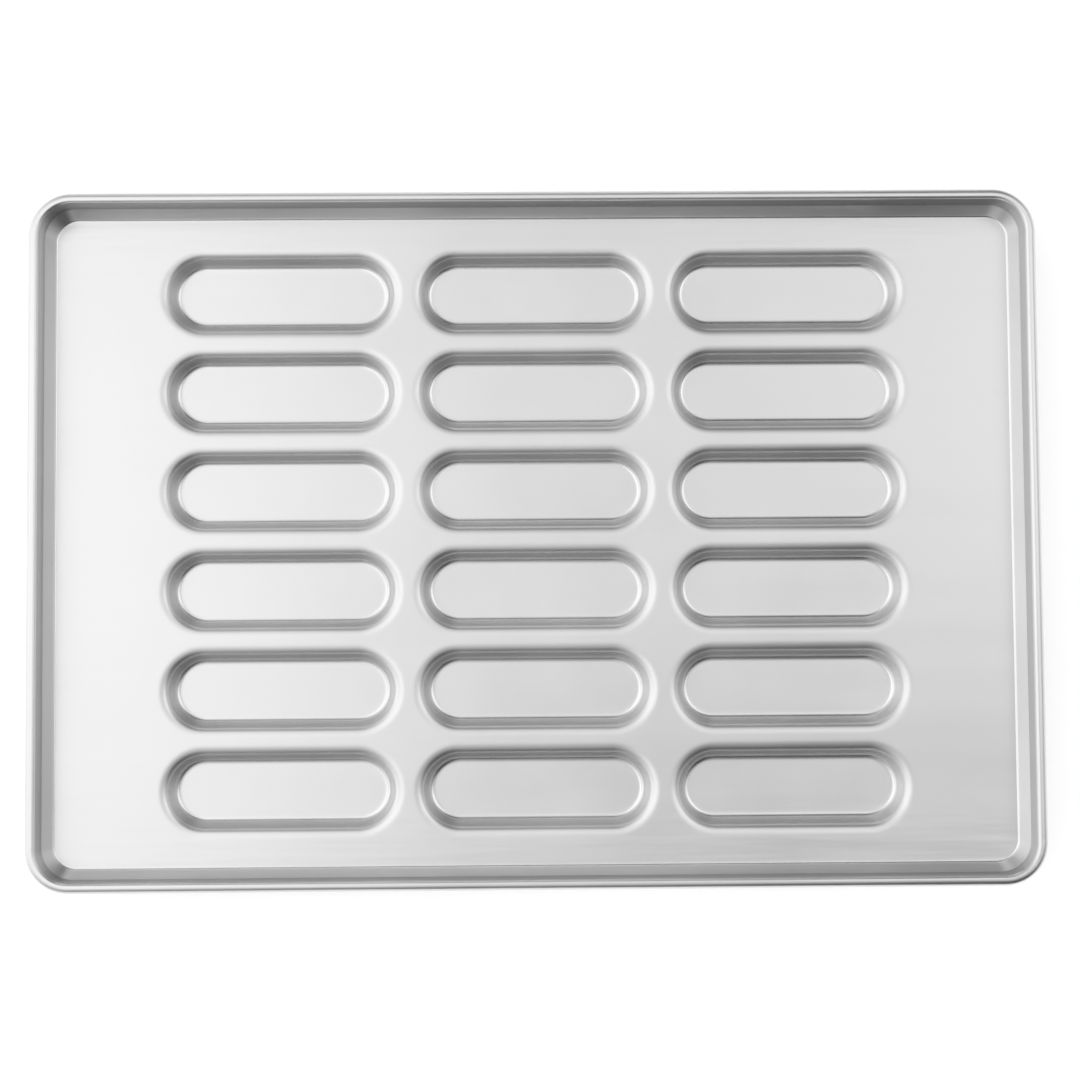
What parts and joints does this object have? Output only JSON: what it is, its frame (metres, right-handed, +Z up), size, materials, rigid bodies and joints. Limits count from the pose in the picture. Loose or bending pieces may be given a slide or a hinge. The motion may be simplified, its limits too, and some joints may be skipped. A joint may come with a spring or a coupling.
{
  "type": "hot dog bun pan",
  "caption": "Flat rectangular baking pan with long round-ended bun moulds pressed into its floor, a flared side wall and a rolled rim curled round a wire.",
  "frame": {"origin": "under the middle of the pan, level with the flat undersides of the moulds", "axes": "+X along the long side, +Y along the short side towards the picture's upper edge, +Z up out of the pan"},
  "size_m": [0.657, 0.453, 0.0384],
  "materials": {
    "sheet_aluminium": "satin, bare pressed sheet",
    "galvanised_wire": "dull galvanised wire"
  },
  "bodies": {
    "root": {"pan_sheet": "sheet_aluminium", "rim_wire": "galvanised_wire"}
  },
  "joints": []
}
